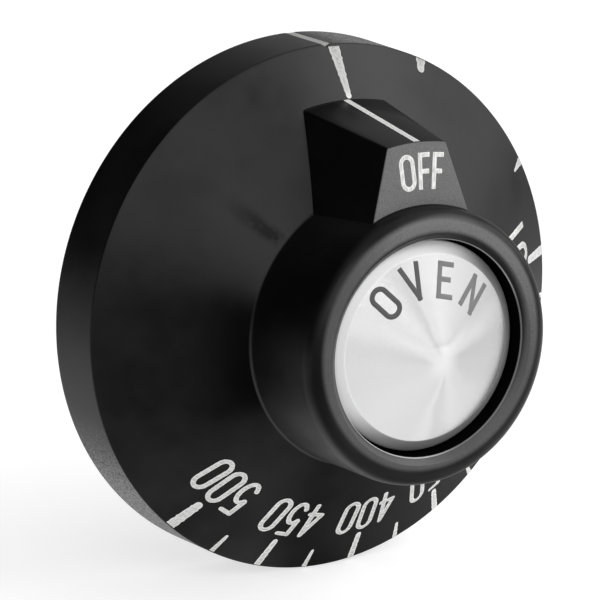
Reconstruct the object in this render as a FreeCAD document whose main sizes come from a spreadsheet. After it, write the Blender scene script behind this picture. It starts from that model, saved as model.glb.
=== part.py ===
"""Oven control knob: a one-piece moulded dial with a pointer, a pressed face disc and a shaft spring.

The knob sits as it does on a cooker: its axis lies along Y, its face looks towards -Y, and the pointer
stands at the top, towards +Z. The origin is on the axis, in the plane of the skirt's back edge.
"Depth" below is the distance from that plane towards the face. Lengths are in mm, angles in degrees.
"""
import FreeCAD, Part
import math
import os
import Sketcher

doc = FreeCAD.newDocument("OvenControlKnob")

# Driving dimensions: name, size, what it is
DIMENSIONS = [
    ("skirt_diameter", 63.5, "dial skirt across its back edge"),
    ("rim_width", 8.0, "band round the skirt, along the axis"),
    ("rim_draft", 0.7, "draft of that band"),
    ("skirt_height", 18.6, "depth at which the sloping skirt meets the hub"),
    ("skirt_wall", 3.0, "wall of the skirt"),
    ("hub_root_diameter", 33.0, "hub where it rises from the skirt"),
    ("hub_draft", 0.9, "draft of the hub's side"),
    ("hub_depth", 31.4, "depth of the hub's front lip"),
    ("hub_wall", 3.0, "wall of the hub"),
    ("bead_round", 2.0, "round on the hub's front edge"),
    ("lip_chamfer", 0.8, "chamfer at the mouth of the face recess"),
    ("face_ring", 3.7, "ring of the hub round the face recess, measured at the hub's root"),
    ("recess_depth", 3.4, "from the front lip to the recess floor"),
    ("front_web", 2.2, "plastic behind the recess floor"),
    ("boss_diameter", 12.7, "boss that holds the shaft"),
    ("rib_thickness", 2.0, "ribs between boss and hub"),
    ("rib_count", 4, "number of those ribs"),
    ("rib_root", 0.5, "how far a rib runs into the walls it joins"),
    ("rib_setback", 1.5, "from the mouth of the hub's hollow to the ribs"),
    ("pointer_setback", 2.5, "from the hub's front lip to the pointer's highest level"),
    ("pointer_reach", 23.35, "radius of the pointer's nose at that level"),
    ("pointer_nose_width", 7.65, "width of the nose at that level"),
    ("pointer_flare", 18.2, "spread of each flank towards the hub"),
    ("pointer_draft", 8.2, "draft of the nose and flanks"),
    ("pointer_face_tilt", 8.0, "slope of the front face down to the nose"),
    ("pointer_edge_round", 0.25, "round on the pointer's edges"),
    ("index_width", 1.45, "index notch across the rim"),
    ("index_depth", 0.45, "depth of that notch"),
    ("shaft_diameter", 6.35, "D-shaped shaft"),
    ("shaft_across_flat", 5.56, "the same shaft, across its flat"),
    ("shaft_clearance", 0.08, "play round the shaft"),
    ("socket_depth", 20.0, "depth of the shaft socket"),
    ("slot_height", 0.9, "spring slot, beyond the socket's flat"),
    ("spring_width", 3.6, "leaf spring, across"),
    ("spring_length", 15.0, "leaf spring, along the shaft"),
    ("spring_thickness", 0.4, "leaf spring, strip thickness"),
    ("spring_press", 0.25, "how far the leaf stands into the socket"),
    ("spring_clearance", 0.05, "play between leaf and slot"),
    ("spring_inset", 1.0, "from the socket's mouth to the leaf, and past its far end"),
    ("disc_clearance", 0.4, "gap between the face disc and the recess wall"),
    ("disc_thickness", 0.5, "face disc, measured along the axis"),
    ("disc_edge_height", 1.45, "turned-down edge of the disc"),
    ("crown_height", 3.5, "rise of the disc from its edge to its point"),
    ("shoulder_round", 1.5, "round between the disc's face and edge"),
    ("tip_round", 5.0, "round at the disc's point"),
    ("glue_gap", 0.1, "glue under the disc's edge"),
]

sheet = doc.addObject("Spreadsheet::Sheet", "Sizes")
for row, (alias, amount, meaning) in enumerate(DIMENSIONS, start=1):
    sheet.set(f"A{row}", meaning)
    sheet.set(f"B{row}", str(amount))
    sheet.setAlias(f"B{row}", alias)
doc.recompute()


class Size:
    """A number that remembers its formula, so a sketch is drawn at its value and bound to the sheet."""

    def __init__(self, value, formula):
        self.value = value
        self.formula = formula

    def __add__(self, other):
        other = as_size(other)
        return Size(self.value + other.value, f"({self.formula} + {other.formula})")

    def __sub__(self, other):
        other = as_size(other)
        return Size(self.value - other.value, f"({self.formula} - {other.formula})")

    def __mul__(self, other):
        other = as_size(other)
        return Size(self.value * other.value, f"({self.formula} * {other.formula})")

    def __truediv__(self, other):
        other = as_size(other)
        return Size(self.value / other.value, f"({self.formula} / {other.formula})")


def as_size(number):
    return number if isinstance(number, Size) else Size(number, str(number))


def size(alias):
    return Size(float(sheet.get(alias)), f"Sizes.{alias}")


def tangent(angle):
    return Size(math.tan(math.radians(angle.value)), f"tan({angle.formula})")


def root(square):
    return Size(math.sqrt(square.value), f"sqrt({square.formula})")


ZERO = as_size(0)
ORIGIN = (-1, 1)
START, END = 1, 2

# Sketch planes: "dial" looks at the face, with X to the right and Z up; "section" is the half section
# with radius to the right and depth up; "side" is the side view with depth to the right and Z up
PLANES = {
    "dial": ("XZ_Plane", FreeCAD.Rotation()),
    "section": ("XY_Plane", FreeCAD.Rotation(FreeCAD.Vector(1, 0, 0), 180)),
    "side": ("YZ_Plane", FreeCAD.Rotation(FreeCAD.Vector(0, 1, 0), 180)),
}


def direction(arrow):
    return math.atan2(arrow.y, arrow.x)


def make_body(node):
    body = doc.addObject("PartDesign::Body", node)
    body.Label = node
    return body


def make_sketch(body, name, plane, depth=ZERO, turn=ZERO):
    """An empty sketch on one of the planes; a dial sketch may be set forward and turned about the axis."""
    role, flip = PLANES[plane]
    sketch = body.newObject("Sketcher::SketchObject", name)
    support = [feature for feature in body.Origin.OriginFeatures if feature.Role == role][0]
    sketch.AttachmentSupport = (support, [""])
    sketch.MapMode = "FlatFace"
    spin = FreeCAD.Rotation(FreeCAD.Vector(0, 0, 1), turn.value)
    sketch.AttachmentOffset = FreeCAD.Placement(FreeCAD.Vector(0, 0, depth.value), flip * spin)
    if plane == "dial":
        sketch.setExpression(".AttachmentOffset.Base.z", depth.formula)
        sketch.setExpression(".AttachmentOffset.Rotation.Angle", turn.formula)
    return sketch


def bind(sketch, name, constraint, amount):
    """Add a named dimension to a sketch and tie it to the sheet."""
    index = sketch.addConstraint(constraint)
    sketch.renameConstraint(index, name)
    sketch.setExpression(f"Constraints.{name}", amount.formula)


def outline(sketch, corners, rounds=(), bends=()):
    """Closed outline through the named corners.

    rounds gives the fillet at a corner, and bends makes the side that leaves a corner a circular arc:
    the arc's centre, its radius, and whether it runs anticlockwise.
    """
    names = list(corners)
    rounds, bends = dict(rounds), dict(bends)
    points = {name: FreeCAD.Vector(x.value, y.value, 0) for name, (x, y) in corners.items()}
    sides = []
    for name, follower in zip(names, names[1:] + names[:1]):
        if name not in bends:
            line = Part.LineSegment(points[name], points[follower])
            sides.append((sketch.addGeometry(line), START, END))
            continue
        (centre_x, centre_y), radius, anticlockwise = bends[name]
        centre = FreeCAD.Vector(centre_x.value, centre_y.value, 0)
        first, last = (name, follower) if anticlockwise else (follower, name)
        begin, finish = (direction(points[end] - centre) for end in (first, last))
        circle = Part.Circle(centre, FreeCAD.Vector(0, 0, 1), radius.value)
        arc = sketch.addGeometry(Part.ArcOfCircle(circle, begin, finish))
        bind(sketch, f"{name}_bend", Sketcher.Constraint("Radius", arc, radius.value), radius)
        sides.append((arc, START, END) if anticlockwise else (arc, END, START))
    for (side, _, end), (follower, start, _) in zip(sides, sides[1:] + sides[:1]):
        sketch.addConstraint(Sketcher.Constraint("Coincident", side, end, follower, start))
    for name, (side, start, _) in zip(names, sides):
        x, y = corners[name]
        bind(sketch, f"{name}_x", Sketcher.Constraint("DistanceX", *ORIGIN, side, start, x.value), x)
        bind(sketch, f"{name}_y", Sketcher.Constraint("DistanceY", *ORIGIN, side, start, y.value), y)
    for name, radius in rounds.items():
        arc = sketch.GeometryCount
        side, start, _ = sides[names.index(name)]
        sketch.fillet(side, start, radius.value, True, True)
        bind(sketch, f"{name}_round", Sketcher.Constraint("Radius", arc, radius.value), radius)


def make_feature(body, kind, name, sketch, **settings):
    """Add a feature made from a sketch; a setting given as a Size is bound to the sheet."""
    feature = body.newObject(f"PartDesign::{kind}", name)
    feature.Profile = sketch
    for key, setting in settings.items():
        if isinstance(setting, Size):
            setattr(feature, key, setting.value)
            feature.setExpression(key, setting.formula)
        else:
            setattr(feature, key, setting)
    sketch.Visibility = False
    doc.recompute()
    return feature


def edges_where(body, test):
    """Names of the body's edges whose middle point passes a test."""
    names = []
    for number, edge in enumerate(body.Shape.Edges, start=1):
        middle = edge.valueAt((edge.FirstParameter + edge.LastParameter) / 2)
        if test(middle):
            names.append(f"Edge{number}")
    return names


def round_edges(body, name, edges, radius):
    """Round the named edges of the body as built so far."""
    base = body.Tip
    fillet = body.newObject("PartDesign::Fillet", name)
    fillet.Base = (base, edges)
    fillet.Radius = radius.value
    fillet.setExpression("Radius", radius.formula)
    doc.recompute()


def revolve(body, kind, name, sketch):
    """Turn a half section through a full circle about the knob's axis."""
    return make_feature(body, kind, name, sketch, ReferenceAxis=(sketch, ["V_Axis"]), Angle=360)


# Levels and radii that several pieces share
skirt_radius = size("skirt_diameter") / 2
rim_front_radius = skirt_radius - size("rim_width") * tangent(size("rim_draft"))
hub_root_radius = size("hub_root_diameter") / 2
hub_front_radius = hub_root_radius - (size("hub_depth") - size("skirt_height")) * tangent(size("hub_draft"))
recess_radius = hub_root_radius - size("face_ring")
floor_depth = size("hub_depth") - size("recess_depth")
boss_radius = size("boss_diameter") / 2
skirt_slope = (size("skirt_height") - size("rim_width")) / (rim_front_radius - hub_root_radius)

# Shaft socket: a round hole with one flat, towards +Z
socket_radius = size("shaft_diameter") / 2 + size("shaft_clearance")
socket_flat = size("shaft_across_flat") - size("shaft_diameter") / 2 + size("shaft_clearance")
slot_floor = socket_flat + size("slot_height")

knob_body = make_body("knob_body")


def build_pointer(body):
    """Pointer block: a drafted wedge with a conical nose, sliced by a face that slopes to the nose."""
    top = size("hub_depth") - size("pointer_setback")
    reach = size("pointer_reach")
    half_nose = size("pointer_nose_width") / 2
    corner_height = root(reach * reach - half_nose * half_nose)
    inner_height = recess_radius + size("lip_chamfer")
    half_root = half_nose + (corner_height - inner_height) * tangent(size("pointer_flare"))

    plan = make_sketch(body, "PointerPlan", "dial", depth=top)
    outline(plan, {
        "nose_right": (half_nose, corner_height),
        "nose_left": (ZERO - half_nose, corner_height),
        "root_left": (ZERO - half_root, inner_height),
        "root_right": (half_root, inner_height),
    }, bends={
        "nose_right": ((ZERO, ZERO), reach, True),
    })
    make_feature(body, "Pad", "PointerBlock", plan, Length=top - size("rim_width"), Reversed=True,
                 TaperAngle=size("pointer_draft"))

    past_nose = skirt_radius
    drop = (past_nose - recess_radius) * tangent(size("pointer_face_tilt"))
    slope = make_sketch(body, "PointerSlope", "side")
    outline(slope, {
        "slope_start": (top, recess_radius),
        "slope_end": (top - drop, past_nose),
        "clear_end": (size("hub_depth"), past_nose),
        "clear_start": (size("hub_depth"), recess_radius),
    })
    make_feature(body, "Pocket", "PointerFace", slope, Type="ThroughAll", Midplane=True)

    low = inner_height.value + half_nose.value / 2
    behind = -(size("rim_width").value + half_nose.value)
    edges = edges_where(body, lambda point: point.z > low and point.y < behind)
    round_edges(body, "PointerEdges", edges, size("pointer_edge_round"))


def build_dial(body):
    """Skirt and hub: one turned half section with the rim, the slope, the bead and the face recess."""
    section = make_sketch(body, "DialSection", "section")
    outline(section, {
        "back_centre": (ZERO, ZERO),
        "rim_back": (skirt_radius, ZERO),
        "rim_front": (rim_front_radius, size("rim_width")),
        "hub_root": (hub_root_radius, size("skirt_height")),
        "hub_front": (hub_front_radius, size("hub_depth")),
        "lip": (recess_radius + size("lip_chamfer"), size("hub_depth")),
        "recess_mouth": (recess_radius, size("hub_depth") - size("lip_chamfer")),
        "recess_floor": (recess_radius, floor_depth),
        "floor_centre": (ZERO, floor_depth),
    }, rounds={
        "hub_front": size("bead_round"),
    })
    revolve(body, "Revolution", "Dial", section)


def build_hollow(body):
    """Hollow back: it leaves the skirt's and hub's walls, the web behind the face and the boss."""
    rim_inner_radius = skirt_radius - size("skirt_wall")
    hub_inner_radius = hub_root_radius - size("hub_wall")
    wall_drop = size("skirt_wall") * root(as_size(1) + skirt_slope * skirt_slope)
    inner_cone_base = size("rim_width") + skirt_slope * rim_front_radius - wall_drop
    cavity_mouth = inner_cone_base - skirt_slope * hub_inner_radius
    web_depth = floor_depth - size("front_web")
    hollow = make_sketch(body, "HollowSection", "section")
    outline(hollow, {
        "boss_mouth": (boss_radius, ZERO),
        "rim_mouth": (rim_inner_radius, ZERO),
        "rim_corner": (rim_inner_radius, inner_cone_base - skirt_slope * rim_inner_radius),
        "cavity_mouth": (hub_inner_radius, cavity_mouth),
        "cavity_corner": (hub_inner_radius, web_depth),
        "boss_root": (boss_radius, web_depth),
    })
    revolve(body, "Groove", "Hollow", hollow)

    half_rib = size("rib_thickness") / 2
    rib_back = cavity_mouth + size("rib_setback")
    half_pitch = as_size(180) / size("rib_count")
    rib = make_sketch(body, "RibPlan", "dial", depth=rib_back, turn=half_pitch)
    outline(rib, {
        "boss_right": (half_rib, boss_radius - size("rib_root")),
        "hub_right": (half_rib, hub_inner_radius + size("rib_root")),
        "hub_left": (ZERO - half_rib, hub_inner_radius + size("rib_root")),
        "boss_left": (ZERO - half_rib, boss_radius - size("rib_root")),
    })
    first_rib = make_feature(body, "Pad", "Rib", rib, Length=web_depth - rib_back + size("rib_root"))
    ring = body.newObject("PartDesign::PolarPattern", "Ribs")
    ring.Originals = [first_rib]
    ring.Axis = (rib, ["N_Axis"])
    ring.Angle = 360
    ring.Occurrences = int(size("rib_count").value)
    ring.setExpression("Occurrences", size("rib_count").formula)
    body.Tip = ring
    doc.recompute()


def build_socket(body):
    """Shaft socket in the boss: a D-shaped hole, with a slot beside its flat for the leaf spring."""
    half_flat = root(socket_radius * socket_radius - socket_flat * socket_flat)
    bore = make_sketch(body, "SocketPlan", "dial")
    outline(bore, {
        "flat_right": (half_flat, socket_flat),
        "flat_left": (ZERO - half_flat, socket_flat),
    }, bends={
        "flat_left": ((ZERO, ZERO), socket_radius, True),
    })
    make_feature(body, "Pocket", "Socket", bore, Length=size("socket_depth"), Reversed=True)

    half_slot = size("spring_width") / 2 + size("spring_clearance")
    slot = make_sketch(body, "SlotPlan", "dial")
    outline(slot, {
        "axis_right": (half_slot, ZERO),
        "floor_right": (half_slot, slot_floor),
        "floor_left": (ZERO - half_slot, slot_floor),
        "axis_left": (ZERO - half_slot, ZERO),
    })
    slot_length = size("spring_length") + size("spring_inset") * 2
    make_feature(body, "Pocket", "SpringSlot", slot, Length=slot_length, Reversed=True)


def build_index(body):
    """Index notch: a shallow V across the rim, in line with the pointer."""
    half_width = size("index_width") / 2
    outside = skirt_radius + size("index_depth")
    notch = make_sketch(body, "IndexPlan", "dial")
    outline(notch, {
        "notch_right": (half_width * 2, outside),
        "notch_left": (ZERO - half_width * 2, outside),
        "notch_root": (ZERO, skirt_radius - size("index_depth")),
    })
    make_feature(body, "Pocket", "IndexNotch", notch, Length=size("rim_width"), Reversed=True)


def build_face_disc(body):
    """Face disc: a pressed sheet with a softly pointed, shallow cone and a turned-down edge."""
    edge_radius = recess_radius - size("disc_clearance")
    inner_radius = edge_radius - size("disc_thickness")
    seat = floor_depth + size("glue_gap")
    shoulder = seat + size("disc_edge_height")
    slope = size("crown_height") / edge_radius
    slant = root(as_size(1) + slope * slope)
    tip_radius = size("tip_round") * slope / slant
    tip_edge = shoulder + size("crown_height") - slope * tip_radius
    tip_centre = tip_edge - size("tip_round") / slant
    underside = shoulder + size("crown_height") - size("disc_thickness")
    section = make_sketch(body, "DiscSection", "section")
    outline(section, {
        "edge_outside": (edge_radius, seat),
        "shoulder": (edge_radius, shoulder),
        "tip_edge": (tip_radius, tip_edge),
        "tip": (ZERO, tip_centre + size("tip_round")),
        "underside_tip": (ZERO, underside),
        "underside_edge": (inner_radius, underside - slope * inner_radius),
        "edge_inside": (inner_radius, seat),
    }, rounds={
        "shoulder": size("shoulder_round"),
    }, bends={
        "tip_edge": ((ZERO, tip_centre), size("tip_round"), True),
    })
    revolve(body, "Revolution", "Disc", section)


def build_shaft_spring(body):
    """Shaft spring: a bowed leaf that lies in the slot and presses on the shaft's flat."""
    bow = size("slot_height") + size("spring_press") - size("spring_thickness") - size("spring_clearance")
    half_length = size("spring_length") / 2
    radius = (half_length * half_length + bow * bow) / (bow * 2)
    outer_radius = radius + size("spring_thickness")
    middle = size("spring_inset") + half_length
    centre_height = slot_floor - size("spring_clearance") - bow + radius
    far_end = size("spring_inset") + size("spring_length")
    end_back = slot_floor - size("spring_clearance")
    end_front = centre_height - root(outer_radius * outer_radius - half_length * half_length)
    leaf = make_sketch(body, "LeafSection", "side")
    outline(leaf, {
        "mouth_front": (size("spring_inset"), end_front),
        "far_front": (far_end, end_front),
        "far_back": (far_end, end_back),
        "mouth_back": (size("spring_inset"), end_back),
    }, bends={
        "mouth_front": ((middle, centre_height), outer_radius, True),
        "far_back": ((middle, centre_height), radius, False),
    })
    make_feature(body, "Pad", "Leaf", leaf, Length=size("spring_width"), Midplane=True)


build_pointer(knob_body)
build_dial(knob_body)
build_hollow(knob_body)
build_socket(knob_body)
build_index(knob_body)
face_disc = make_body("face_disc")
build_face_disc(face_disc)
shaft_spring = make_body("shaft_spring")
build_shaft_spring(shaft_spring)
doc.recompute()

sub_parts = [knob_body, face_disc, shaft_spring]
for item in doc.Objects:
    if "Invalid" in item.State or "Error" in item.State:
        raise RuntimeError(f"{item.Name} did not compute: {item.State}")
for part in sub_parts:
    if part.Shape.isNull() or not part.Shape.isValid() or len(part.Shape.Solids) != 1:
        raise RuntimeError(f"{part.Label} is not one valid solid")

os.makedirs("parts", exist_ok=True)
for part in sub_parts:
    part.Shape.exportStep(f"parts/{part.Label}.step")
    box = part.Shape.optimalBoundingBox()
    spans = f"{box.XLength:.2f} x {box.YLength:.2f} x {box.ZLength:.2f} mm"
    print(f"{part.Label}: {part.Shape.Volume:.1f} mm3, {spans}")
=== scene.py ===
# %% [markdown]
# # An oven control knob
#
# The real object is the knob of an oven's thermostat: one black moulding with a wide sloping dial, a
# pointer and a round hub, a bright pressed disc glued into the hub's face, and a small leaf spring that
# grips the shaft at the back. The CAD frame holds these pieces at their true size. This lesson models
# smooth, finely finished versions of them in the same place, paints the scale on the dial, and sets up a
# plain studio with the camera where the photographer stood.

# %% Load the CAD frame
import math

import bpy
from mathutils import Matrix, Quaternion, Vector


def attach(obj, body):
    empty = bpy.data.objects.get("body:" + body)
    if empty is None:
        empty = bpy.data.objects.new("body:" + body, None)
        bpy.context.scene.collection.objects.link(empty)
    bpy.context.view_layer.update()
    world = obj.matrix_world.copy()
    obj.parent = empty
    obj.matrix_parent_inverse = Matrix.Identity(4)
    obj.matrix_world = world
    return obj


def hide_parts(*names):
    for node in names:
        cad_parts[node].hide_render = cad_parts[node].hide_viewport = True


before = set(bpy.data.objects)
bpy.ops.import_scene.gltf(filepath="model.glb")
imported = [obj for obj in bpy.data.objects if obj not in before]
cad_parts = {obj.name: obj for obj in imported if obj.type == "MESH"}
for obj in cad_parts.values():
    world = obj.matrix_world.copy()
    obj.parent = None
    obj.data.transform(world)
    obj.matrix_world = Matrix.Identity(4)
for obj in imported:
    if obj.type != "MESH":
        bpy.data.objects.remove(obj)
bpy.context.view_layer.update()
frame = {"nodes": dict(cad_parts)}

MM = 0.001
print("CAD nodes:", ", ".join(frame["nodes"]))

# %% [markdown]
# ## The camera
#
# A long lens far away keeps the dial's circles nearly true ellipses, as in a catalogue picture. The camera
# stands to the left of the knob and a little above it. A track quaternion aims it at a point just in front
# of the dial, and a small turn about the line of sight levels it as the photographer had it. An operator
# acts on all that is selected, so a helper first clears the selection, here and before each new piece.

# %% Place the camera
camera_place = Vector((-325.76, -513.37, 148.74)) * MM
camera_aim = Vector((1.281, -1.026, -0.715)) * MM
camera_roll = math.radians(0.628)


def pick(*pieces):
    """Select these pieces alone, or none, and make the first one active."""
    bpy.ops.object.select_all(action="DESELECT")
    for piece in pieces:
        piece.select_set(True)
    if pieces:
        bpy.context.view_layer.objects.active = pieces[0]


pick()
bpy.ops.object.camera_add(location=camera_place)
camera = bpy.context.object
camera.name = "photo_camera"
camera.rotation_mode = "QUATERNION"
camera.rotation_quaternion = (camera_aim - camera_place).to_track_quat("-Z", "Y") @ Quaternion(
    (0, 0, 1), camera_roll)
camera.data.sensor_width = 36
camera.data.lens = 314.9
camera.data.clip_start = 0.01
bpy.context.scene.camera = camera
print("Camera stands", round((camera_aim - camera_place).length / MM), "mm from the dial")

# %% [markdown]
# ## Turning a moulding
#
# Most of this knob is round about one axis, so it is built as a wood turner would think of it, from a half
# section of corners, each with a radius from the axis and a depth in front of the skirt's back edge.
# Moulded corners are never sharp, so each corner is first replaced by a small arc. A holding ring just
# beside each arc keeps the long flats flat when the shading is smoothed.

# %% Round the corners of a section
def rounded(corners, steps=7, hold=0.3):
    """Replace each (radius, depth, round) corner of a half section by an arc between two holding points."""
    points = []
    last = len(corners) - 1
    for number, (radius, depth, bend) in enumerate(corners):
        corner = Vector((radius, depth))
        if bend == 0 or number in (0, last):
            points.append(corner)
            continue
        before, after = Vector(corners[number - 1][:2]) - corner, Vector(corners[number + 1][:2]) - corner
        to_before, to_after = before.normalized(), after.normalized()
        opening = to_before.angle(to_after)
        setback = bend / math.tan(opening / 2)
        centre = corner + (to_before + to_after).normalized() * bend / math.sin(opening / 2)
        first, end = corner + to_before * setback, corner + to_after * setback
        if before.length > setback + 2 * hold:
            points.append(first + to_before * hold)
        sweep = (first - centre).angle_signed(end - centre)
        for step in range(steps + 1):
            turned = Matrix.Rotation(-sweep * step / steps, 2) @ (first - centre)
            points.append(centre + turned)
        if after.length > setback + 2 * hold:
            points.append(end + to_after * hold)
    return [tuple(point) for point in points]


# %% [markdown]
# ## The dial and hub
#
# The moulding's outside runs from the floor of the face recess over a chamfered lip and the fat round bead
# to the hub's side, then down the sloping skirt to the rim. Its inside is the hollow back, with the boss
# for the shaft standing in the middle. All of it is one closed half section.

# %% Write down the dial's section
SKIRT_RADIUS = 31.75
RIM_RADIUS = 31.652
RIM_WIDTH = 8.0
HUB_RADIUS, HUB_ROOT, HUB_FRONT = 16.5, 18.6, 31.4
RECESS_RADIUS, RECESS_FLOOR = 12.8, 28.0
HOLLOW_RADIUS, HUB_HOLLOW, HOLLOW_ROOF = 28.75, 13.5, 25.8
BOSS_RADIUS = 6.35
SKIRT_SLOPE = (HUB_ROOT - RIM_WIDTH) / (RIM_RADIUS - HUB_RADIUS)
# Radius, depth and round of each corner, from the recess over the bead and the rim to the mouth of the boss
dial_section = rounded([
    (RECESS_RADIUS, RECESS_FLOOR, 0),
    (RECESS_RADIUS, 30.6, 0.15),
    (13.6, HUB_FRONT, 0.25),
    (16.299, HUB_FRONT, 2.0),
    (HUB_RADIUS, HUB_ROOT, 0.4),
    (RIM_RADIUS, RIM_WIDTH, 0.22),
    (SKIRT_RADIUS, 0.0, 0.25),
    (HOLLOW_RADIUS, 0.0, 0.2),
    (HOLLOW_RADIUS, 6.37, 1.5),
    (HUB_HOLLOW, 17.04, 1.5),
    (HUB_HOLLOW, HOLLOW_ROOF, 1.5),
    (BOSS_RADIUS, HOLLOW_ROOF, 1.5),
    (BOSS_RADIUS, 0.0, 0.2),
    (4.2, 0.0, 0),
])
print("The dial's section has", len(dial_section), "points")

# %% [markdown]
# Spin or a Screw modifier would turn such a section too. Here a circle is added at the first corner, and
# each next ring is extruded from the last, moved along the axis and scaled to its own radius. That way
# every ring is a true circle, and both ends can be closed with one face.

# %% Turn the dial and hub
AROUND = 256


def turn(name, profile):
    """Turn a half section of (radius, depth) points in mm about the knob's axis and cap both ends."""
    pick()
    radius, depth = profile[0]
    bpy.ops.mesh.primitive_circle_add(
        vertices=AROUND, radius=radius * MM, fill_type="NGON", location=(0, -depth * MM, 0),
        rotation=(math.pi / 2, 0, 0))
    bpy.ops.object.transform_apply()
    piece = bpy.context.object
    piece.name = piece.data.name = name
    bpy.ops.object.mode_set(mode="EDIT")
    bpy.ops.mesh.select_mode(type="EDGE")
    bpy.ops.mesh.select_all(action="SELECT")
    for (radius, depth), (next_radius, next_depth) in zip(profile, profile[1:]):
        bpy.ops.mesh.extrude_edges_move(TRANSFORM_OT_translate={"value": (0, (depth - next_depth) * MM, 0)})
        grow = next_radius / radius
        bpy.ops.transform.resize(value=(grow, 1, grow), center_override=(0, -next_depth * MM, 0))
    bpy.ops.mesh.edge_face_add()
    bpy.ops.mesh.select_all(action="SELECT")
    bpy.ops.mesh.remove_doubles(threshold=0.001 * MM)
    bpy.ops.mesh.normals_make_consistent(inside=False)
    bpy.ops.object.mode_set(mode="OBJECT")
    print(name, "turned with", len(profile), "rings and", len(piece.data.polygons), "faces")
    return piece


knob = turn("moulded_knob", dial_section)

# %% [markdown]
# ## The pointer
#
# The pointer is a wedge with drafted sides, a nose that is part of a cone about the knob's axis, and a
# front face that slopes down to the nose. A block would have to be bent to get such a nose, so the pointer
# starts as the whole cone, and its flat sides are cut from that.

# %% Start the pointer as a cone
DRAFT = math.radians(8.2)
FACE_TILT = math.radians(8.0)
FACE_DEPTH, FACE_START = 28.9, 12.8
NOSE_REACH, HALF_NOSE = 23.35, 3.825
CONE_BACK, CONE_FRONT = 9.0, 31.0


def nose_radius(depth):
    """How far the nose is from the axis at a depth."""
    return NOSE_REACH + (FACE_DEPTH - depth) * math.tan(DRAFT)


def face_depth(height):
    """How deep the tilted face lies at a height."""
    return FACE_DEPTH - (height - FACE_START) * math.tan(FACE_TILT)


pick()
bpy.ops.mesh.primitive_cone_add(
    vertices=AROUND * 2, radius1=nose_radius(CONE_BACK) * MM, radius2=nose_radius(CONE_FRONT) * MM,
    depth=(CONE_FRONT - CONE_BACK) * MM, location=(0, -(CONE_BACK + CONE_FRONT) / 2 * MM, 0),
    rotation=(math.pi / 2, 0, 0))
bpy.ops.object.transform_apply()
pointer = bpy.context.object
pointer.name = "pointer"
print("The pointer's cone is", [round(side / MM, 2) for side in pointer.dimensions], "mm")

# %% [markdown]
# Bisect cuts away what lies outside each flat side and closes the cut with a face. The foot is cut off a
# little below the skirt's surface, so that the two skins cross cleanly later. No edge of a moulding is
# quite sharp, so the edges then get a narrow bevel.

# %% Cut its flat sides and bevel its edges
FLARE = math.radians(18.2)
POINTER_END, POINTER_SINK, EDGE_BEVEL = 13.7, 2.2, 0.22
corner_height = math.sqrt(NOSE_REACH ** 2 - HALF_NOSE ** 2)
flank = (math.cos(FLARE) * math.cos(DRAFT), -math.sin(DRAFT), math.sin(FLARE) * math.cos(DRAFT))
# A point of each side and the way it faces: the end in the hub, both flanks, the face, the foot in the skirt
pointer_cuts = [
    ((0, 0, POINTER_END), (0, 0, -1)),
    ((HALF_NOSE, -FACE_DEPTH, corner_height), flank),
    ((-HALF_NOSE, -FACE_DEPTH, corner_height), (-flank[0], flank[1], flank[2])),
    ((0, -FACE_DEPTH, FACE_START), (0, -math.cos(FACE_TILT), math.sin(FACE_TILT))),
    ((0, -(HUB_ROOT - POINTER_SINK), HUB_RADIUS), (0, 1, -SKIRT_SLOPE)),
]
bpy.ops.object.mode_set(mode="EDIT")
for place, outward in pointer_cuts:
    bpy.ops.mesh.select_all(action="SELECT")
    bpy.ops.mesh.bisect(plane_co=Vector(place) * MM, plane_no=outward, use_fill=True, clear_outer=True)
bpy.ops.mesh.select_all(action="SELECT")
bpy.ops.mesh.remove_doubles(threshold=0.001 * MM)
bpy.ops.mesh.select_mode(type="EDGE")
bpy.ops.mesh.select_all(action="DESELECT")
bpy.ops.mesh.edges_select_sharp(sharpness=math.radians(25))
bpy.ops.mesh.bevel(offset=EDGE_BEVEL * MM, segments=3, affect="EDGES")
bpy.ops.mesh.select_all(action="SELECT")
bpy.ops.mesh.normals_make_consistent(inside=False)
bpy.ops.object.mode_set(mode="OBJECT")
print("pointer has", len(pointer.data.polygons), "faces")

# %% [markdown]
# The pointer and the dial are one moulding, so a Boolean modifier makes one skin of them. The same helper
# serves for the tools that follow.

# %% Join the pointer to the dial
def combine(piece, tool, operation):
    """Add a tool's shape to a piece, or cut it out, and throw the tool away."""
    pick(piece)
    modifier = piece.modifiers.new("Combine", "BOOLEAN")
    modifier.operation = operation
    modifier.solver = "MANIFOLD"
    modifier.object = tool
    bpy.ops.object.modifier_apply(modifier=modifier.name)
    bpy.data.objects.remove(tool, do_unlink=True)
    print(piece.name, operation.lower(), "gives", len(piece.data.polygons), "faces")


combine(knob, pointer, "UNION")

# %% [markdown]
# ## Ribs, shaft socket and index notch
#
# Behind the face, four ribs tie the boss to the hub. They could be extruded from the boss, but its wall
# and the hub's would have to be joined to them by hand. A block that reaches into both walls is simpler:
# one rib is shaped, and each place gets a copy of it that is turned about the axis and added.

# %% Add the ribs
RIB_SIZE, RIB_PLACE, RIB_ANGLES = (2.0, 7.7, 8.1), (0, -22.4, 9.9), (45, 135, 225, 315)


def block(size, place):
    """A block tool of a size at a place, both in mm."""
    pick()
    bpy.ops.mesh.primitive_cube_add(size=1)
    tool = bpy.context.object
    tool.scale = Vector(size) * MM
    tool.location = Vector(place) * MM
    bpy.ops.object.transform_apply()
    return tool


first_rib = block(RIB_SIZE, RIB_PLACE)
for turn_angle in RIB_ANGLES:
    pick(first_rib)
    bpy.ops.object.duplicate()
    rib = bpy.context.object
    rib.rotation_euler = (0, math.radians(turn_angle), 0)
    bpy.ops.object.transform_apply()
    combine(knob, rib, "UNION")
bpy.data.objects.remove(first_rib, do_unlink=True)

# %% [markdown]
# The shaft of the thermostat has a flat, so the socket in the boss is a D: a cylinder with one side cut
# off by bisect is the tool for it. The slot beside the flat holds the leaf spring.

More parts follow.
